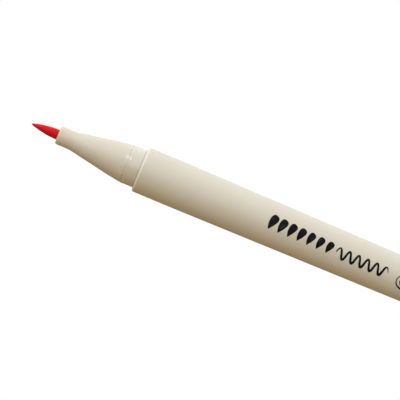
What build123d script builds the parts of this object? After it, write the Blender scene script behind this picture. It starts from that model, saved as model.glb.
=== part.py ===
"""Brush pen with a flexible tip, its cap posted on the tail.

Units are millimetres. +X runs along the pen, from the tip to the tail, and +Z is up. The origin is
on the pen's axis at the barrel's front shoulder. The pen lies on a table: the barrel's front and the
posted cap touch the plane at z = -barrel_r, and the edge of the cap's clip just clears it.
"""

import os
from math import acos, atan2, cos, degrees, hypot, radians, sin, sqrt, tan

from build123d import *

# How far a shape runs into the piece that it is joined to or cut from.
overlap = 0.2

# Barrel: a moulded tube that tapers slowly to a narrower seat for the posted cap.
barrel_r = 5.3
barrel_length = 104.0
barrel_straight = 9.0
barrel_draft = 0.45
rim_round = 0.5
tail_seat_x = 94.0
tail_seat_r = 4.45
tail_step = 0.15
tail_end_r = 4.42
tail_round = 0.25
bore_front_r = 4.1
bore_rear_r = 3.80
plug_socket_x = 97.5

# Ribs in the barrel's bore: they lead the reservoir in, centre it and stop its rear end.
rib_count = 6
rib_width = 0.5
rib_front_x = 14.0
rib_lead_length, rib_lead_depth = 0.6, 0.3
rib_clearance = 0.02
rib_root_r = 4.35
rib_stop_r = 2.4
rib_stop_length = 2.0
rib_brace_length = 9.0

# Front section: nose ring, cone, cap seat, and a spigot pressed into the barrel.
spigot_r = 4.22
spigot_length = 12.0
spigot_gap = 0.3
spigot_round = 0.25
spigot_bore_r = 3.55
mouth_x = -20.0
ring_r = 2.125
cone_front_x = -16.5
cone_rear_x = -6.0
cone_rear_r = 4.05
cone_end_x = -3.3
cone_end_r = 4.42
ring_round = 0.5
mouth_round = 0.1
neck_round = 7.5
shoulder_round = 30.0
seat_x = -3.1
seat_r = 4.45
seat_groove = 0.05
ridge_x = -3.6
ridge_r = 0.12
ridge_height = 0.03
bump_x = -2.65
bump_count = 3
bump_arc = 56.0
bump_turn = 80.0
bump_length = 0.6
bump_height = 0.1
chamber_front_x = -6.5
chamber_front_r, chamber_front_slope = 2.6, 1.2
chamber_rear_x = -1.0
chamber_rear_r, chamber_rear_slope = 3.4, 1.6
fin_count = 4
fin_width = 0.6
fin_inner_r = 1.6
groove_count = 3
groove_width = 0.3
groove_depth = 0.3

# Brush tip: a tangent ogive with a small round apex and a ball at its root, where it bends.
apex_x = -26.4
apex_round = 0.2
tip_r = 1.17
tip_bore_r = 1.28
tip_inset = 0.2
bend_x = mouth_x + tip_inset

# Ink system inside the pen.
wick_r = 1.0
wick_gap = 0.08
wick_front_x = bend_x + tip_r + wick_gap
wick_rear_x = 9.0
wick_point_length, wick_point_r = 0.8, 0.4
reservoir_r = 3.4
reservoir_front_x = 1.0
reservoir_rear_x = 81.0
film_r = 3.5
film_inset = 0.6

# Tail plug.
plug_r = 3.7
plug_bore_r = 2.9
plug_front_x = plug_socket_x + 0.5
plug_flange_r = 4.2
plug_flange = 1.0
plug_wall = 0.8
dish_r, dish_floor_r, dish_depth = 2.6, 2.2, 0.25
plug_front_round, plug_rear_round = 0.3, 0.7

# Cap: lengths along it are measured from its rim, at cap_x while it is posted.
cap_x = tail_seat_x + 0.5
cap_length = 40.0
cap_straight = 2.5
cap_rear_r = 5.1
cap_bore_r = 4.5
cap_step = 10.9
cap_inner_r = 4.28
crown_seat = 37.0
rim_inner_round, rim_outer_round = 0.15, 0.25
bead_start, bead_end, bead_depth, bead_slope = 1.9, 3.6, 0.14, 0.4
liner_front, liner_rear = 11.2, 29.0
liner_collar = 2.8
liner_r, liner_bore_r, liner_end_bore_r = 3.65, 3.03, 2.95
liner_mouth_r = 3.3
liner_lead = 0.6
liner_wall = 0.8
liner_round = 0.6
crown_spigot = 2.6
crown_wall = 1.4
crown_bore_r = 3.5
crown_dish_r, crown_floor_r, crown_dish_depth = 3.4, 3.1, 0.35
crown_front_round, crown_rear_round = 0.2, 1.0
vent_r, vent_circle_r, vent_count = 0.45, 2.4, 3

# Pocket clip: one moulding with a tongue through the cap's wall and a foot that hooks behind it.
clip_outer_r = 8.0
clip_thickness = 1.2
clip_tip, clip_root = 3.5, 33.4
clip_tip_width, clip_root_width = 2.8, 3.4
clip_round = 0.35
clip_tip_round, clip_root_round = 1.2, 0.8
clip_gap = 0.02
ball_at, ball_r, ball_width = 6.0, 1.6, 2.0
ball_reach_r = 5.45
tongue_start, tongue_end, tongue_width = 30.6, 33.2, 2.6
tongue_inner_r = 3.75
foot_thickness, foot_reach = 0.3, 0.9
slot_clearance = 0.2

# The clip's lower edge just clears the table, which sets how far the cap is turned.
edge_r = clip_outer_r - clip_round
edge_y = clip_root_width / 2 - clip_round
table_reach = barrel_r - clip_gap - clip_round
clip_turn = acos(table_reach / hypot(edge_r, edge_y)) + atan2(edge_y, edge_r)
clip_out = (0, -sin(clip_turn), -cos(clip_turn))
clip_side = (0, cos(clip_turn), -sin(clip_turn))
clip_plane = Plane(origin=(0, 0, 0), x_dir=(1, 0, 0), z_dir=clip_side)
clip_out_plane = Plane(origin=(0, 0, 0), x_dir=(1, 0, 0), z_dir=clip_out)


def turned(points, rounds=()):
    """The half outline of a turned piece, from (x, radius) points, with some corners rounded."""
    with BuildSketch(Plane.XY) as outline:
        with BuildLine():
            Polyline(*points, close=True)
        make_face()
        for corner, radius in rounds:
            fillet(outline.vertices().sort_by_distance(corner)[0], radius)
    return outline.sketch


def radial_plane(turn):
    """The plane through the pen's axis whose y direction is +Y turned by some degrees about +X."""
    return Plane.XY.rotated((turn, 0, 0))


def save(piece, name):
    piece.part.label = name
    export_step(piece.part, f"parts/{name}.step")


os.makedirs("parts", exist_ok=True)

# Barrel, with ribs in its bore that centre the reservoir and end in a step that stops it.
barrel_rear_r = barrel_r - (tail_seat_x - barrel_straight) * tan(radians(barrel_draft))
rib_bore_r = film_r + rib_clearance
rib_lead_r = rib_bore_r + rib_lead_depth
with BuildPart() as barrel:
    barrel_outline = [
        (0, spigot_r),
        (0, barrel_r),
        (barrel_straight, barrel_r),
        (tail_seat_x, barrel_rear_r),
        (tail_seat_x + tail_step, tail_seat_r),
        (barrel_length, tail_end_r),
        (barrel_length, plug_r),
        (plug_socket_x, plug_r),
        (plug_socket_x, bore_rear_r),
        (spigot_length + spigot_gap, bore_front_r),
        (spigot_length + spigot_gap, spigot_r),
    ]
    barrel_rounds = [
        ((0, barrel_r), rim_round),
        ((barrel_length, tail_end_r), tail_round),
    ]
    revolve(turned(barrel_outline, barrel_rounds), axis=Axis.X)
    for rib_number in range(rib_count):
        with BuildSketch(radial_plane(360 / rib_count * rib_number)):
            with BuildLine():
                Polyline(
                    (rib_front_x, rib_lead_r),
                    (rib_front_x + rib_lead_length, rib_bore_r),
                    (reservoir_rear_x, rib_bore_r),
                    (reservoir_rear_x, rib_stop_r),
                    (reservoir_rear_x + rib_stop_length, rib_stop_r),
                    (reservoir_rear_x + rib_brace_length, bore_rear_r + overlap),
                    (reservoir_rear_x, rib_root_r),
                    (rib_front_x, rib_root_r),
                    close=True,
                )
            make_face()
        extrude(amount=rib_width / 2, both=True)
save(barrel, "barrel")

# Front section. The cone runs into the nose ring and the shoulder through large rounds.
with BuildPart() as front_section:
    section_outline = [
        (mouth_x, tip_bore_r),
        (mouth_x, ring_r),
        (cone_front_x, ring_r),
        (cone_rear_x, cone_rear_r),
        (cone_end_x, cone_end_r),
        (cone_end_x, cone_end_r - seat_groove),
        (seat_x, cone_end_r - seat_groove),
        (seat_x, seat_r),
        (0, seat_r),
        (0, spigot_r),
        (spigot_length, spigot_r),
        (spigot_length, spigot_bore_r),
        (chamber_rear_x + chamber_rear_slope, spigot_bore_r),
        (chamber_rear_x, chamber_rear_r),
        (chamber_front_x, chamber_front_r),
        (chamber_front_x - chamber_front_slope, wick_r),
        (wick_front_x, wick_r),
        (wick_front_x, tip_bore_r),
    ]
    section_rounds = [
        ((mouth_x, tip_bore_r), mouth_round),
        ((mouth_x, ring_r), ring_round),
        ((cone_front_x, ring_r), neck_round),
        ((cone_rear_x, cone_rear_r), shoulder_round),
        ((spigot_length, spigot_r), spigot_round),
    ]
    revolve(turned(section_outline, section_rounds), axis=Axis.X)
    # A fine ridge runs right round in front of the cap seat.
    with BuildSketch(Plane.XY):
        with Locations((ridge_x, cone_end_r + ridge_height - ridge_r)):
            Circle(ridge_r)
    revolve(axis=Axis.X)
    # Low snap bumps on the seat hold the cap when it is closed.
    for bump_number in range(bump_count):
        bump_start = -bump_turn - bump_arc / 2 + 360 / bump_count * bump_number
        with BuildSketch(radial_plane(180 + bump_start)):
            with BuildLine():
                Polyline(
                    (bump_x - bump_length / 2, seat_r - overlap),
                    (bump_x - bump_length / 2, seat_r),
                    (bump_x, seat_r + bump_height),
                    (bump_x + bump_length / 2, seat_r),
                    (bump_x + bump_length / 2, seat_r - overlap),
                    close=True,
                )
            make_face()
        revolve(axis=Axis.X, revolution_arc=bump_arc)
    # Fins in the rear chamber carry the reservoir's front end.
    for fin_number in range(fin_count):
        with BuildSketch(radial_plane(360 / fin_count * fin_number)):
            with BuildLine():
                Polyline(
                    (chamber_front_x - overlap, fin_inner_r),
                    (reservoir_front_x, fin_inner_r),
                    (reservoir_front_x, spigot_bore_r + overlap),
                    (chamber_rear_x, chamber_rear_r + overlap),
                    (chamber_front_x - overlap, chamber_front_r + overlap),
                    close=True,
                )
            make_face()
        extrude(amount=fin_width / 2, both=True)
    # Air grooves beside the wick let air in as ink flows out.
    for groove_number in range(groove_count):
        with BuildSketch(radial_plane(30 + 360 / groove_count * groove_number)):
            with Locations(((wick_front_x + chamber_front_x) / 2, wick_r)):
                Rectangle(chamber_front_x - wick_front_x + overlap, 2 * groove_depth)
        extrude(amount=groove_width / 2, both=True, mode=Mode.SUBTRACT)
save(front_section, "front_section")

# Brush tip. The ogive is tangent to the straight root and to the sphere at its apex.
apex_centre_x = apex_x + apex_round
ogive_length = mouth_x - apex_centre_x
ogive_r = (ogive_length**2 + tip_r**2 - apex_round**2) / (2 * (tip_r - apex_round))
ogive_centre_y = tip_r - ogive_r
to_apex = (apex_centre_x - mouth_x, -ogive_centre_y)
to_apex_length = hypot(*to_apex)
join_x = mouth_x + to_apex[0] / to_apex_length * ogive_r
join_y = ogive_centre_y + to_apex[1] / to_apex_length * ogive_r
apex_mid_turn = (radians(180) + atan2(join_y, join_x - apex_centre_x)) / 2
apex_mid = (
    apex_centre_x + apex_round * cos(apex_mid_turn),
    apex_round * sin(apex_mid_turn),
)
side_mid_x = (join_x + mouth_x) / 2
side_mid = (side_mid_x, ogive_centre_y + sqrt(ogive_r**2 - (side_mid_x - mouth_x) ** 2))
with BuildPart() as brush_tip:
    with BuildSketch(Plane.XY):
        with BuildLine():
            ThreePointArc((apex_x, 0), apex_mid, (join_x, join_y))
            ThreePointArc((join_x, join_y), side_mid, (mouth_x, tip_r))
            Line((mouth_x, tip_r), (bend_x, tip_r))
            CenterArc((bend_x, 0), tip_r, 0, 90)
            Line((bend_x + tip_r, 0), (apex_x, 0))
        make_face()
    revolve(axis=Axis.X)
save(brush_tip, "brush_tip")

# Relay wick: a fibre rod from just behind the tip's root into the reservoir.
with BuildPart() as relay_wick:
    wick_outline = [
        (wick_front_x, 0),
        (wick_front_x, wick_r),
        (wick_rear_x - wick_point_length, wick_r),
        (wick_rear_x, wick_point_r),
        (wick_rear_x, 0),
    ]
    revolve(turned(wick_outline), axis=Axis.X)
save(relay_wick, "relay_wick")

# Ink reservoir: a wadding rod with a pocket for the wick.
with BuildPart() as ink_reservoir:
    reservoir_outline = [
        (reservoir_front_x, wick_r),
        (reservoir_front_x, reservoir_r),
        (reservoir_rear_x, reservoir_r),
        (reservoir_rear_x, 0),
        (wick_rear_x, 0),
        (wick_rear_x, wick_point_r),
        (wick_rear_x - wick_point_length, wick_r),
    ]
    revolve(turned(reservoir_outline), axis=Axis.X)
save(ink_reservoir, "ink_reservoir")

# Reservoir film: the thin skin round the wadding, open at both ends.
with BuildPart() as reservoir_film:
    film_outline = [
        (reservoir_front_x + film_inset, reservoir_r),
        (reservoir_front_x + film_inset, film_r),
        (reservoir_rear_x - film_inset, film_r),
        (reservoir_rear_x - film_inset, reservoir_r),
    ]
    revolve(turned(film_outline), axis=Axis.X)
save(reservoir_film, "reservoir_film")

# Tail plug: a hollow spigot pressed into the barrel, with a dished, rounded end.
plug_end_x = barrel_length + plug_flange
with BuildPart() as tail_plug:
    plug_outline = [
        (plug_front_x, plug_bore_r),
        (plug_front_x, plug_r),
        (barrel_length, plug_r),
        (barrel_length, plug_flange_r),
        (plug_end_x, plug_flange_r),
        (plug_end_x, dish_r),
        (plug_end_x - dish_depth, dish_floor_r),
        (plug_end_x - dish_depth, 0),
        (barrel_length - plug_wall, 0),
        (barrel_length - plug_wall, plug_bore_r),
    ]
    plug_rounds = [
        ((plug_front_x, plug_r), plug_front_round),
        ((plug_end_x, plug_flange_r), plug_rear_round),
    ]
    revolve(turned(plug_outline, plug_rounds), axis=Axis.X)
save(tail_plug, "tail_plug")

# Cap shell: a tube with a snap groove near its rim, a step behind the seat and a slot for the clip.
with BuildPart() as cap_shell:
    shell_outline = [
        (cap_x, cap_bore_r),
        (cap_x, barrel_r),
        (cap_x + cap_straight, barrel_r),
        (cap_x + crown_seat, cap_rear_r),
        (cap_x + crown_seat, cap_inner_r),
        (cap_x + cap_step, cap_inner_r),
        (cap_x + cap_step, cap_bore_r),
        (cap_x + bead_end, cap_bore_r),
        (cap_x + bead_end - bead_slope, cap_bore_r + bead_depth),
        (cap_x + bead_start + bead_slope, cap_bore_r + bead_depth),
        (cap_x + bead_start, cap_bore_r),
    ]
    shell_rounds = [((cap_x, cap_bore_r), rim_inner_round), ((cap_x, barrel_r), rim_outer_round)]
    revolve(turned(shell_outline, shell_rounds), axis=Axis.X)
    slot_length = tongue_end - tongue_start + 2 * slot_clearance
    slot_depth = 2 * (barrel_r - cap_inner_r + overlap)
    with BuildSketch(clip_plane):
        with Locations((cap_x + (tongue_start + tongue_end) / 2, barrel_r)):
            Rectangle(slot_length, slot_depth)
    extrude(amount=tongue_width / 2 + slot_clearance, both=True, mode=Mode.SUBTRACT)
save(cap_shell, "cap_shell")

# Inner cap: a closed liner whose mouth seals on the nose cone, held by its collar.
with BuildPart() as inner_cap:
    liner_outline = [
        (cap_x + liner_front, liner_mouth_r),
        (cap_x + liner_front, cap_inner_r),
        (cap_x + liner_front + liner_collar, cap_inner_r),
        (cap_x + liner_front + liner_collar, liner_r),
        (cap_x + liner_rear, liner_r),
        (cap_x + liner_rear, 0),
        (cap_x + liner_rear - liner_wall, 0),
        (cap_x + liner_rear - liner_wall, liner_end_bore_r),
        (cap_x + liner_front + liner_lead, liner_bore_r),
    ]
    liner_rounds = [((cap_x + liner_rear, liner_r), liner_round)]
    revolve(turned(liner_outline, liner_rounds), axis=Axis.X)
save(inner_cap, "inner_cap")

# Cap crown: a hollow spigot and a domed head, with air vents through to the cap's inside.
crown_x = cap_x + crown_seat
crown_end_x = cap_x + cap_length
with BuildPart() as cap_crown:
    crown_outline = [
        (crown_x - crown_spigot, crown_bore_r),
        (crown_x - crown_spigot, cap_inner_r),
        (crown_x, cap_inner_r),
        (crown_x, cap_rear_r),
        (crown_end_x, cap_rear_r),
        (crown_end_x, crown_dish_r),
        (crown_end_x - crown_dish_depth, crown_floor_r),
        (crown_end_x - crown_dish_depth, 0),
        (crown_end_x - crown_wall, 0),
        (crown_end_x - crown_wall, crown_bore_r),
    ]
    crown_rounds = [
        ((crown_end_x, cap_rear_r), crown_rear_round),
        ((crown_x - crown_spigot, cap_inner_r), crown_front_round),
    ]
    revolve(turned(crown_outline, crown_rounds), axis=Axis.X)
    with BuildSketch(Plane.YZ.offset(crown_end_x)):
        with PolarLocations(vent_circle_r, vent_count):
            Circle(vent_r)
    extrude(amount=-crown_wall - overlap, mode=Mode.SUBTRACT)
save(cap_crown, "cap_crown")

# Pocket clip: a tapering arm with a rounded outer edge, then its tongue, foot and ball.
clip_inner_r = clip_outer_r - clip_thickness
clip_tip_x, clip_root_x = cap_x + clip_tip, cap_x + clip_root
tongue_start_x, tongue_end_x = cap_x + tongue_start, cap_x + tongue_end
with BuildPart() as pocket_clip:
    with BuildSketch(clip_out_plane.offset(clip_inner_r)) as clip_arm:
        with BuildLine():
            Polyline(
                (clip_tip_x, -clip_tip_width / 2),
                (clip_root_x, -clip_root_width / 2),
                (clip_root_x, clip_root_width / 2),
                (clip_tip_x, clip_tip_width / 2),
                close=True,
            )
        make_face()
        fillet(clip_arm.vertices().group_by(Axis.X)[0], clip_tip_round)
        fillet(clip_arm.vertices().group_by(Axis.X)[-1], clip_root_round)
    extrude(amount=clip_thickness)
    outer_face = pocket_clip.faces().sort_by(Axis((0, 0, 0), clip_out))[-1]
    fillet(outer_face.edges(), clip_round)
    with BuildSketch(clip_plane):
        with BuildLine():
            Polyline(
                (tongue_start_x, clip_inner_r + overlap),
                (tongue_start_x, tongue_inner_r),
                (tongue_end_x + foot_reach, tongue_inner_r),
                (tongue_end_x + foot_reach, tongue_inner_r + foot_thickness),
                (tongue_end_x, tongue_inner_r + foot_thickness),
                (tongue_end_x, clip_inner_r + overlap),
                close=True,
            )
        make_face()
    extrude(amount=tongue_width / 2, both=True)
    # A low ball under the free end grips the pocket.
    ball_x = cap_x + ball_at
    ball_root_r = clip_inner_r + overlap / 2
    with BuildSketch(clip_plane):
        with BuildLine():
            ThreePointArc(
                (ball_x - ball_r, ball_root_r),
                (ball_x, ball_reach_r),
                (ball_x + ball_r, ball_root_r),
            )
            Line((ball_x + ball_r, ball_root_r), (ball_x - ball_r, ball_root_r))
        make_face()
    extrude(amount=ball_width / 2, both=True)
save(pocket_clip, "pocket_clip")

print("clip turned", round(degrees(clip_turn), 2), "degrees from straight down, towards -Y")
print("clip hinge axis", [round(-value, 5) for value in clip_side])
print("clip outwards", [round(value, 5) for value in clip_out])
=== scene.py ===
"""Looks of the brush pen: its brush tip, the print on its barrel, every finish, light and camera.

Lengths are in millimetres times MM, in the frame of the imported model: +X runs from the tip to the
tail, +Z is up, and the origin is on the axis at the barrel's front shoulder.
"""

import math

import bpy
from mathutils import Matrix, Vector


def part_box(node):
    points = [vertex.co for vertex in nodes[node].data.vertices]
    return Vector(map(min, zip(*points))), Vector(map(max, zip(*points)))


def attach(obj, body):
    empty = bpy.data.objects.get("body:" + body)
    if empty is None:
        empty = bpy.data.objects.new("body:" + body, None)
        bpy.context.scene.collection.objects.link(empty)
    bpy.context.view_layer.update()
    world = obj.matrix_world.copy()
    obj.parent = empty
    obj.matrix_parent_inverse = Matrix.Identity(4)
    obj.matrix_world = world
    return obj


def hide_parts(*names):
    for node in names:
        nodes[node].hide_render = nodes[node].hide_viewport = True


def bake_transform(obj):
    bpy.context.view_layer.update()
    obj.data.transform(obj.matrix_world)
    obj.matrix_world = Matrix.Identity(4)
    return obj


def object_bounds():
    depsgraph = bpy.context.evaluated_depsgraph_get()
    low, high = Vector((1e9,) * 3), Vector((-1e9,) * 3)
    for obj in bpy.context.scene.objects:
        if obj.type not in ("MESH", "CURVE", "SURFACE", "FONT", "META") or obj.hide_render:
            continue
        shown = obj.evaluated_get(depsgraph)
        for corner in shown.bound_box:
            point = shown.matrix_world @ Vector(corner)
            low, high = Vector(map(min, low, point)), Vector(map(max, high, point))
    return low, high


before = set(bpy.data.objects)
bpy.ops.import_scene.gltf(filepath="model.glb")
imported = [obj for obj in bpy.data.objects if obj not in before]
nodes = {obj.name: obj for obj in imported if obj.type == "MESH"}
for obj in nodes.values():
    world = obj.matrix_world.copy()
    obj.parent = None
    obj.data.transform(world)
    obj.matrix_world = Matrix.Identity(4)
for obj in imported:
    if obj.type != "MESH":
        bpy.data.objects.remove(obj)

cad_box = [list(corner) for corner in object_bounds()]
MM = 0.001

# The view is square on to the pen from its -Y side, rolled so that the tip points up and left. Its
# middle is VIEW_CENTRE_X along the pen and VIEW_DROP below the axis.
VIEW_LIFT = math.radians(40)
VIEW_ROLL = math.radians(22.72)
VIEW_WIDTH = 90.0 * MM
VIEW_CENTRE_X = 15.1 * MM
VIEW_DROP = 1.20 * MM
VIEW_DISTANCE = 1.2
TOWARDS_VIEWER = Vector((0, -math.cos(VIEW_LIFT), math.sin(VIEW_LIFT)))
ACROSS_PEN = Vector((0, math.sin(VIEW_LIFT), math.cos(VIEW_LIFT)))
ALONG_PEN = Vector((1, 0, 0))


# ---------------------------------------------------------------- shader arithmetic


class Socket:
    """A shader socket that plain arithmetic works on."""

    def __init__(self, graph, output):
        self.graph = graph
        self.output = output

    def math(self, operation, *values):
        return self.graph.node("ShaderNodeMath", {"operation": operation}, values)

    def __add__(self, other):
        return self.math("ADD", self, other)

    def __sub__(self, other):
        return self.math("SUBTRACT", self, other)

    def __rsub__(self, other):
        return self.math("SUBTRACT", other, self)

    def __mul__(self, other):
        return self.math("MULTIPLY", self, other)

    __radd__ = __add__
    __rmul__ = __mul__

    def rise(self, low, high):
        """0 up to low and 1 from high on, with a soft start and end."""
        settings = {"interpolation_type": "SMOOTHSTEP"}
        return self.graph.node("ShaderNodeMapRange", settings, {0: self, 1: low, 2: high})


class Graph:
    """A node tree whose nodes are made by node()."""

    def __init__(self, tree):
        self.tree = tree

    def plug(self, value, socket):
        if isinstance(value, Socket):
            self.tree.links.new(value.output, socket)
        else:
            socket.default_value = value

    def node(self, kind, settings=None, inputs=(), output=0):
        made = self.tree.nodes.new(kind)
        for key, value in (settings or {}).items():
            setattr(made, key, value)
        pairs = inputs.items() if isinstance(inputs, dict) else enumerate(inputs)
        for key, value in pairs:
            self.plug(value, made.inputs[key])
        return Socket(self, made.outputs[output])

    def mix(self, factor, first, second):
        settings = {"data_type": "RGBA"}
        return self.node("ShaderNodeMix", settings, {0: factor, 6: first, 7: second}, 2)


class Paint(Graph):
    """A material with one Principled shader; what is the same all over is given as a constant."""

    def __init__(self, name, **constants):
        self.material = bpy.data.materials.new(name)
        self.material.use_nodes = True
        super().__init__(self.material.node_tree)
        self.shader = self.tree.nodes["Principled BSDF"]
        for key, value in constants.items():
            self.set(key.replace("_", " "), value)
        self.place = self.node("ShaderNodeTexCoord", output="Object")

    def set(self, name, value):
        self.plug(value, self.shader.inputs[name])

    def along_pen(self, low, high):
        """0 up to the place low on the pen's length and 1 from high on."""
        return self.node("ShaderNodeSeparateXYZ", {}, [self.place], "X").rise(low, high)

    def noise(self, along, across, detail=2.0, roughness=0.5):
        """Noise from 0 to 1, with about that many cells in a metre along the pen and across it."""
        stretch = {"Vector": self.place, "Scale": (along, across, across)}
        inputs = {
            "Vector": self.node("ShaderNodeMapping", {}, stretch),
            "Scale": 1.0,
            "Detail": detail,
            "Roughness": roughness,
        }
        return self.node("ShaderNodeTexNoise", {}, inputs)

    def bump(self, height, depth, strength=1.0):
        inputs = {"Height": height, "Distance": depth, "Strength": strength}
        self.set("Normal", self.node("ShaderNodeBump", {}, inputs))


def shown(*channels):
    """A colour as light, from the values that a screen shows it with."""
    return (*(((c + 0.055) / 1.055) ** 2.4 for c in channels), 1.0)


# ---------------------------------------------------------------- finishes

# Places along the pen: the round of the barrel's front rim, which is painted pale as a highlight, the
# front of the polished cap seat, the corner behind the seat, which is painted in shade, and where the
# warm light painted on the nose begins to fade and is gone.
RIM_ROUND = 0.5 * MM
SEAT_FRONT = -3.85 * MM
SEAT_EDGE = 0.1 * MM
CORNER_START, CORNER_END = -0.45 * MM, -0.1 * MM
WARM_LIGHT_START, WARM_LIGHT_END = -19.5 * MM, -14.0 * MM

# The eroded grain of the moulds, in cells to the metre.
GRAIN_CELLS = 5200
GRAIN_DEPTH = 0.006 * MM


def cream_plastic(name, **gloss):
    """Satin moulded plastic with faint flow marks; gives the paint, its colour and its gloss."""
    soft = {"Subsurface_Weight": 0.3, "Subsurface_Scale": 1.5 * MM}
    paint = Paint(name, IOR=1.47, Subsurface_Radius=(1.0, 0.6, 0.3), **soft, **gloss)
    flow = paint.noise(60, 420, 3)
    cloud = paint.noise(140, 140)
    deep, bright = shown(0.872, 0.850, 0.788), shown(0.888, 0.870, 0.812)
    return paint, paint.mix(flow * 0.5 + cloud * 0.5, deep, bright), 0.40 + cloud * 0.08


def add_grain(paint, polished):
    """Eroded grain, except where the plastic is polished."""
    paint.bump(paint.noise(GRAIN_CELLS, GRAIN_CELLS) * (1 - polished), GRAIN_DEPTH, 0.6)


def barrel_plastic():
    """The barrel: fine eroded grain, and a front rim painted pale as a highlight and made smooth."""
    paint, colour, satin = cream_plastic("barrel_plastic")
    # Painted highlight: the rim's round is painted pale where light falls on it, and it is also made
    # smoother.
    rim_highlight_and_polish = 1 - paint.along_pen(RIM_ROUND * 0.5, RIM_ROUND * 1.3)
    paint.set("Base Color", paint.mix(rim_highlight_and_polish * 0.8, colour, shown(0.95, 0.94, 0.90)))
    paint.set("Roughness", satin - rim_highlight_and_polish * 0.12)
    add_grain(paint, rim_highlight_and_polish)
    return paint.material


def section_plastic():
    """The front section: grain on the cone, painted warm light on the nose, a polished seat and
    painted shade in the corner.
    """
    paint, colour, satin = cream_plastic("section_plastic", Coat_IOR=1.8, Coat_Roughness=0.24)
    seat = paint.along_pen(SEAT_FRONT - SEAT_EDGE, SEAT_FRONT + SEAT_EDGE)
    # Painted warm light: the nose is tinted warm, and the tint fades out along the cone.
    tint = 1 - paint.along_pen(WARM_LIGHT_START, WARM_LIGHT_END)
    # Painted shade: the seat is darkened in the corner just in front of the barrel's shoulder.
    corner_shade = paint.along_pen(CORNER_START, CORNER_END)
    colour = paint.mix(tint * 0.35, colour, shown(0.90, 0.80, 0.68))
    paint.set("Base Color", paint.mix(corner_shade * 0.4, colour, shown(0.74, 0.69, 0.60)))
    paint.set("Roughness", satin * (1 - seat) + seat * 0.25)
    paint.set("Coat Weight", seat)
    add_grain(paint, seat)
    return paint.material


def brush_fibre():
    """The tip: fine fibres that run to the apex, wet with ink that glows where light goes through."""
    soft = {"Subsurface_Weight": 0.8, "Subsurface_Scale": 1.6 * MM}
    gloss = {"IOR": 1.42, "Specular_IOR_Level": 0.2}
    paint = Paint("brush_fibre", Subsurface_Radius=(1.0, 0.1, 0.12), **soft, **gloss)
    fibre = paint.noise(260, 7200, 3, 0.6)
    patch = paint.noise(420, 900)
    dark, light = shown(0.82, 0.03, 0.08), shown(0.89, 0.10, 0.14)
    paint.set("Base Color", paint.mix(fibre * 0.6 + patch * 0.4, dark, light))
    paint.set("Roughness", 0.36 + patch * 0.22)
    paint.bump(fibre, 0.02 * MM, 0.7)
    return paint.material


def fibre_rod(name, dark, light, fibres):
    """Bundled fibres stained by the ink, with that many fibres in a metre across."""
    paint = Paint(name, IOR=1.4)
    fibre = paint.noise(120, fibres, 3, 0.65)
    tint = paint.noise(90, 300)
    paint.set("Base Color", paint.mix(fibre * 0.5 + tint * 0.5, dark, light))
    paint.set("Roughness", 0.75 + fibre * 0.2)
    paint.bump(fibre, 0.05 * MM)
    return paint.material


def red_plastic():
    """Glossy moulded plastic of the cap, clip and plug, with faint ripple and handling haze."""
    paint = Paint("red_plastic", IOR=1.49)
    ripple = paint.noise(180, 260)
    haze = paint.noise(700, 700, 4, 0.6)
    paint.set("Base Color", paint.mix(ripple, shown(0.72, 0.02, 0.05), shown(0.79, 0.05, 0.08)))
    paint.set("Roughness", 0.14 + haze.rise(0.45, 0.8) * 0.14)
    paint.bump(ripple, 0.02 * MM, 0.4)
    return paint.material


def liner_plastic():
    """Soft pale polyethylene of the cap's liner."""
    soft = {"Subsurface_Weight": 0.3, "Subsurface_Scale": 1.0 * MM}
    paint = Paint("liner_plastic", IOR=1.5, **soft)
    cloud = paint.noise(500, 500, 3)
    paint.set("Base Color", paint.mix(cloud, shown(0.84, 0.83, 0.79), shown(0.92, 0.91, 0.88)))
    paint.set("Roughness", 0.38 + cloud * 0.15)
    paint.bump(cloud, 0.02 * MM, 0.5)
    return paint.material


def clear_film():
    """Thin film round the wadding, softly wrinkled."""
    paint = Paint("clear_film", IOR=1.45, Alpha=0.45)
    wrinkle = paint.noise(240, 900, 3)
    paint.set("Base Color", paint.mix(wrinkle, shown(0.90, 0.84, 0.82), shown(0.96, 0.93, 0.92)))
    paint.set("Roughness", 0.15 + wrinkle * 0.2)
    paint.bump(wrinkle, 0.03 * MM)
    return paint.material


def print_ink():
    """Pad-printed black ink, paler where it went on thin."""
    paint = Paint("print_ink", IOR=1.45, Specular_IOR_Level=0.15)
    thin = paint.noise(650, 650, 3, 0.6)
    pores = paint.noise(6500, 6500)
    full, worn = shown(0.03, 0.03, 0.035), shown(0.18, 0.17, 0.16)
    paint.set("Base Color", paint.mix(thin.rise(0.52, 0.75), full, worn))
    paint.set("Roughness", 0.42 + pores * 0.15)
    paint.bump(pores, 0.003 * MM)
    return paint.material


# ---------------------------------------------------------------- modelling helpers


def deselect():
    """Back to object mode with nothing selected."""
    if bpy.context.object and bpy.context.object.mode != "OBJECT":
        bpy.ops.object.mode_set(mode="OBJECT")
    bpy.ops.object.select_all(action="DESELECT")


def just_added(name):
    """The object that the last operator made, given its name."""
    made = bpy.context.object
    made.name = name
    made.data.name = name
    return made


def work_on(piece):
    """Select the piece alone, for the next operator."""
    deselect()
    piece.select_set(True)
    bpy.context.view_layer.objects.active = piece


def apply_modifier(piece, kind, **settings):
    """Add a modifier, set it and apply it at once."""
    work_on(piece)
    modifier = piece.modifiers.new(kind.title(), kind)
    for key, value in settings.items():
        setattr(modifier, key, value)
    bpy.ops.object.modifier_apply(modifier=modifier.name)


def finish_piece(piece, material, smooth_angle):
    """Put the piece's place into its mesh, close its shading and give it its finish."""
    work_on(piece)
    bpy.ops.object.transform_apply(location=True, rotation=True, scale=True)
    bpy.ops.object.shade_smooth_by_angle(angle=math.radians(smooth_angle))
    piece.data.materials.clear()
    piece.data.materials.append(material)


def dress(material, *names):
    """Give CAD nodes their finish."""
    for name in names:
        nodes[name].data.materials.clear()
        nodes[name].data.materials.append(material)


# ---------------------------------------------------------------- brush tip

TIP_SIDES = 72
OGIVE_RINGS = 22
APEX_ROUND = 0.2 * MM


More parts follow.
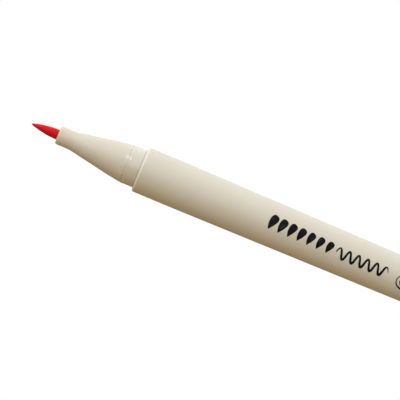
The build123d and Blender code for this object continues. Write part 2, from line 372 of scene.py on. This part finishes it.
def tip_stations():
    """Rings (x, radius) of the tip: the ball at its root, the ogive, and the small round apex."""
    low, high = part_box("brush_tip")
    mouth_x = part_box("front_section")[0].x
    root_r = high.y
    bend_x = high.x - root_r
    rings = []
    for degrees in (12, 30, 50, 70, 90):
        turn = math.radians(degrees)
        rings.append((bend_x + root_r * math.cos(turn), root_r * math.sin(turn)))
    # The ogive's arc leaves the mouth along the pen and runs smoothly into the apex's round.
    apex_x = low.x + APEX_ROUND
    length = mouth_x - apex_x
    ogive_r = (length**2 + root_r**2 - APEX_ROUND**2) / (2 * (root_r - APEX_ROUND))
    sink = ogive_r - root_r
    join = math.atan2(length, sink)
    for step in range(OGIVE_RINGS + 1):
        turn = join * step / OGIVE_RINGS
        rings.append((mouth_x - ogive_r * math.sin(turn), ogive_r * math.cos(turn) - sink))
    for share in (0.3, 0.6, 0.85):
        turn = join + (math.pi / 2 - join) * share
        rings.append((apex_x - APEX_ROUND * math.sin(turn), APEX_ROUND * math.cos(turn)))
    return rings


def make_brush_tip(material):
    """One disc, extruded and scaled from ring to ring, that bends softly out of the nose."""
    deselect()
    rings = tip_stations()
    x, radius = rings[0]
    bpy.ops.mesh.primitive_circle_add(
        vertices=TIP_SIDES,
        radius=radius,
        fill_type="NGON",
        location=(x, 0, 0),
        rotation=(0, math.pi / 2, 0),
    )
    tip = just_added("brush_tip_fibre")
    bpy.ops.object.transform_apply(location=True, rotation=True, scale=True)
    bpy.ops.object.mode_set(mode="EDIT")
    bpy.ops.mesh.select_all(action="SELECT")
    for next_x, next_radius in rings[1:]:
        bpy.ops.mesh.extrude_region_move(TRANSFORM_OT_translate={"value": (next_x - x, 0, 0)})
        grow = next_radius / radius
        bpy.ops.transform.resize(value=(1, grow, grow), center_override=(next_x, 0, 0))
        x, radius = next_x, next_radius
    bpy.ops.mesh.select_all(action="SELECT")
    bpy.ops.mesh.normals_make_consistent(inside=False)
    bpy.ops.object.mode_set(mode="OBJECT")
    finish_piece(tip, material, 80)
    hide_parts("brush_tip")
    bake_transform(tip)


# ---------------------------------------------------------------- print on the barrel

# Flat shapes are drawn in a plane square to the view, in millimetres along and across the pen.
PRINT_HEIGHT = 7.0 * MM
PRINT_BASE = -1.25
PRINT_SLANT = 0.31
INK_THICKNESS = 0.012 * MM
NIB_POINTS = 7

# The row of dabs: each one is a little shorter and slimmer than the one before.
DAB_COUNT = 7
DAB_START, DAB_PITCH = 31.6, 2.33
DAB_HEIGHT, DAB_HEIGHT_LOSS = 3.45, 0.12
DAB_WIDTH, DAB_WIDTH_LOSS = 1.65, 0.05


def flat_nib():
    """The profile that every stroke is drawn with: a flat line, one metre wide, lying across it."""
    deselect()
    bpy.ops.curve.primitive_nurbs_path_add()
    nib = bpy.context.object
    nib.data.splines.clear()
    spline = nib.data.splines.new("POLY")
    spline.points.add(NIB_POINTS - 1)
    for number, point in enumerate(spline.points):
        point.co = (number / (NIB_POINTS - 1) - 0.5, 0, 0, 1)
    return nib


def stroke(nib, points):
    """One stroke through soft points (x, y, width), drawn with the flat nib."""
    deselect()
    bpy.ops.curve.primitive_nurbs_path_add()
    line = bpy.context.object
    line.data.splines.clear()
    line.data.dimensions = "2D"
    spline = line.data.splines.new("NURBS")
    spline.points.add(len(points) - 1)
    for point, (x, y, width) in zip(spline.points, points):
        point.co = (x * MM, y * MM, 0, 1)
        point.radius = width * MM
    spline.order_u = 3
    spline.use_endpoint_u = True
    spline.resolution_u = 10
    line.data.bevel_mode = "OBJECT"
    line.data.bevel_object = nib
    bpy.ops.object.convert(target="MESH")
    return bpy.context.object


def dab_points(x, height, width):
    """A slanted dab: round where the brush lands and drawn down to a point on the base line."""
    rises_and_widths = ((1, 0.1), (0.99, 0.8), (0.78, 1.2), (0.45, 0.95), (0.18, 0.5), (0, 0.06))
    points = []
    for rise, press in rises_and_widths:
        y = rise * height
        bow = 0.5 * rise * (1 - rise)
        points.append((x + PRINT_SLANT * y - bow, PRINT_BASE + y, press * width))
    return points


def wave_points(start_x, end_x, bows, height):
    """A fine wave, pressed harder at its lower bows; it reaches half as far out as its points."""
    points = [(start_x - 0.2, PRINT_BASE + height / 2, 0.2)]
    pitch = (end_x - start_x) / bows
    for number in range(bows):
        side = 1 if number % 2 == 0 else -1
        x = start_x + pitch * (number + 0.5)
        points.append((x, PRINT_BASE + height * (0.5 + side), 0.5 - 0.1 * side))
    points.append((end_x + 0.2, PRINT_BASE + height / 2, 0.1))
    return points


def swirl_points(centre_x, centre_y, inner_r, outer_r, tail_end_x):
    """A spiral that opens out, pressed harder on its right side, and runs on into a long tail."""
    points = []
    steps = 14
    for step in range(steps + 1):
        turn = math.radians(90 + 45 * step)
        radius = inner_r + (outer_r - inner_r) * step / steps
        press = 0.34 + 0.2 * math.cos(turn + math.radians(20)) * step / steps
        if step == 0:
            press = 0.06
        x = centre_x + radius * math.cos(turn)
        points.append((x, centre_y + radius * math.sin(turn), press))
    low = centre_y - outer_r
    run = tail_end_x - centre_x
    tail = ((0.2, -0.15, 0.7), (0.45, 0.3, 0.95), (0.75, 1.1, 0.5), (1, 1.4, 0.05))
    for share, lift, press in tail:
        points.append((centre_x + run * share, low + lift, press))
    return points


def make_print(material):
    """A row of dabs, a fine wave and a swirl with a long tail, laid on the barrel as ink."""
    nib = flat_nib()
    shapes = []
    for number in range(DAB_COUNT):
        x = DAB_START + DAB_PITCH * number
        height = DAB_HEIGHT - DAB_HEIGHT_LOSS * number
        width = DAB_WIDTH - DAB_WIDTH_LOSS * number
        shapes.append(stroke(nib, dab_points(x, height, width)))
    wave = wave_points(start_x=47.9, end_x=60.1, bows=11, height=2.3)
    shapes.append(stroke(nib, wave))
    swirl = swirl_points(centre_x=64.05, centre_y=-0.55, inner_r=0.35, outer_r=2.0, tail_end_x=84.0)
    shapes.append(stroke(nib, swirl))
    bpy.data.objects.remove(nib)
    work_on(shapes[0])
    for shape in shapes:
        shape.select_set(True)
    bpy.ops.object.join()
    ink = just_added("barrel_print")
    turn = Matrix((ALONG_PEN, ACROSS_PEN, TOWARDS_VIEWER)).transposed().to_4x4()
    ink.matrix_world = Matrix.Translation(TOWARDS_VIEWER * PRINT_HEIGHT) @ turn
    bpy.context.view_layer.update()
    apply_modifier(
        ink,
        "SHRINKWRAP",
        target=nodes["barrel"],
        wrap_method="PROJECT",
        use_project_z=True,
        use_positive_direction=False,
        use_negative_direction=True,
        offset=INK_THICKNESS,
    )
    apply_modifier(ink, "SOLIDIFY", thickness=INK_THICKNESS, offset=1)
    finish_piece(ink, material, 30)
    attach(ink, "pen")


# ---------------------------------------------------------------- light, floor and camera

# Half of the world is a white dome above the pen in the view, and the other half is warm shade.
DOME_TURN = math.radians(85)
DOME_AXIS = TOWARDS_VIEWER * math.cos(DOME_TURN) + ACROSS_PEN * math.sin(DOME_TURN)
DOME_EDGE = 0.12
DOME_LIGHT = (0.95, 0.95, 0.95, 1.0)
SHADE_LIGHT = (0.33, 0.237, 0.125, 1.0)

# A low window behind the pen, a light that glints on the cap seat, and one that the nose points at.
WINDOW_LIFT = math.radians(18)
WINDOW = Vector((0, math.cos(WINDOW_LIFT), math.sin(WINDOW_LIFT)))
TIP_SIDE = TOWARDS_VIEWER * 0.67 + ACROSS_PEN * 0.55 - ALONG_PEN * 0.50
FRONT = Vector((-1, 0, 0.1))

# Softboxes: name, direction from the origin, distance and sides in metres, and watts.
SOFTBOXES = (
    ("window", WINDOW, 0.8, (0.9, 0.1), 0.2),
    ("tip_side", TIP_SIDE, 1.0, (0.7, 0.2), 1.45),
    ("front", FRONT, 1.0, (0.7, 0.7), 0.9),
)
FLOOR_SIZE = 60


def light_world():
    """The dome and the shade."""
    world = bpy.data.worlds.new("studio")
    bpy.context.scene.world = world
    world.use_nodes = True
    graph = Graph(world.node_tree)
    direction = graph.node("ShaderNodeTexCoord", output="Generated")
    dot = {"operation": "DOT_PRODUCT"}
    facing = graph.node("ShaderNodeVectorMath", dot, [direction, tuple(DOME_AXIS)], "Value")
    colour = graph.mix(facing.rise(-DOME_EDGE, DOME_EDGE), SHADE_LIGHT, DOME_LIGHT)
    graph.plug(colour, world.node_tree.nodes["Background"].inputs["Color"])


def softbox(name, direction, distance, size, power):
    """A rectangular light that looks at the origin from some way off.

    Its first side runs along the pen, or across it where the light looks down the pen's length.
    """
    lamp = bpy.data.lights.new(name, "AREA")
    lamp.shape = "RECTANGLE"
    lamp.size, lamp.size_y = size
    lamp.energy = power
    holder = bpy.data.objects.new(name, lamp)
    bpy.context.scene.collection.objects.link(holder)
    back = direction.normalized()
    side = ALONG_PEN if abs(back.x) < 0.5 else ACROSS_PEN
    side = (side - back * side.dot(back)).normalized()
    turn = Matrix((side, back.cross(side), back)).transposed().to_4x4()
    holder.matrix_world = Matrix.Translation(back * distance) @ turn


def lay_floor(z):
    """A plain white floor that neither lights nor shades the pen."""
    deselect()
    bpy.ops.mesh.primitive_plane_add(size=FLOOR_SIZE, location=(0, 0, z))
    floor = just_added("floor")
    material = bpy.data.materials.new("floor_white")
    material.use_nodes = True
    graph = Graph(material.node_tree)
    glow = graph.node("ShaderNodeEmission", {}, {"Color": (1, 1, 1, 1), "Strength": 1.0})
    graph.plug(glow, material.node_tree.nodes["Material Output"].inputs["Surface"])
    floor.data.materials.append(material)
    floor.visible_diffuse = False
    floor.visible_glossy = False
    floor.visible_shadow = False


def set_camera():
    """A long lens, square on to the pen and rolled."""
    camera = bpy.data.cameras.new("camera")
    camera.sensor_width = 36
    camera.lens = camera.sensor_width * VIEW_DISTANCE / VIEW_WIDTH
    camera.clip_start, camera.clip_end = 0.1, 50
    holder = bpy.data.objects.new("camera", camera)
    bpy.context.scene.collection.objects.link(holder)
    right = ALONG_PEN * math.cos(VIEW_ROLL) + ACROSS_PEN * math.sin(VIEW_ROLL)
    up = ACROSS_PEN * math.cos(VIEW_ROLL) - ALONG_PEN * math.sin(VIEW_ROLL)
    turn = Matrix((right, up, TOWARDS_VIEWER)).transposed().to_4x4()
    aim = ALONG_PEN * VIEW_CENTRE_X - ACROSS_PEN * VIEW_DROP
    holder.matrix_world = Matrix.Translation(aim + TOWARDS_VIEWER * VIEW_DISTANCE) @ turn
    bpy.context.scene.camera = holder


# ---------------------------------------------------------------- the scene

set_camera()
bpy.context.scene.view_settings.view_transform = "Standard"
light_world()
for settings in SOFTBOXES:
    softbox(*settings)
lay_floor(cad_box[0][2])

dress(barrel_plastic(), "barrel")
dress(section_plastic(), "front_section")
dress(fibre_rod("wick_fibre", shown(0.55, 0.02, 0.04), shown(0.76, 0.10, 0.12), 6000), "relay_wick")
dress(fibre_rod("wadding", shown(0.62, 0.05, 0.07), shown(0.84, 0.22, 0.23), 2500), "ink_reservoir")
dress(clear_film(), "reservoir_film")
dress(red_plastic(), "cap_shell", "cap_crown", "pocket_clip", "tail_plug")
dress(liner_plastic(), "inner_cap")
make_brush_tip(brush_fibre())
make_print(print_ink())
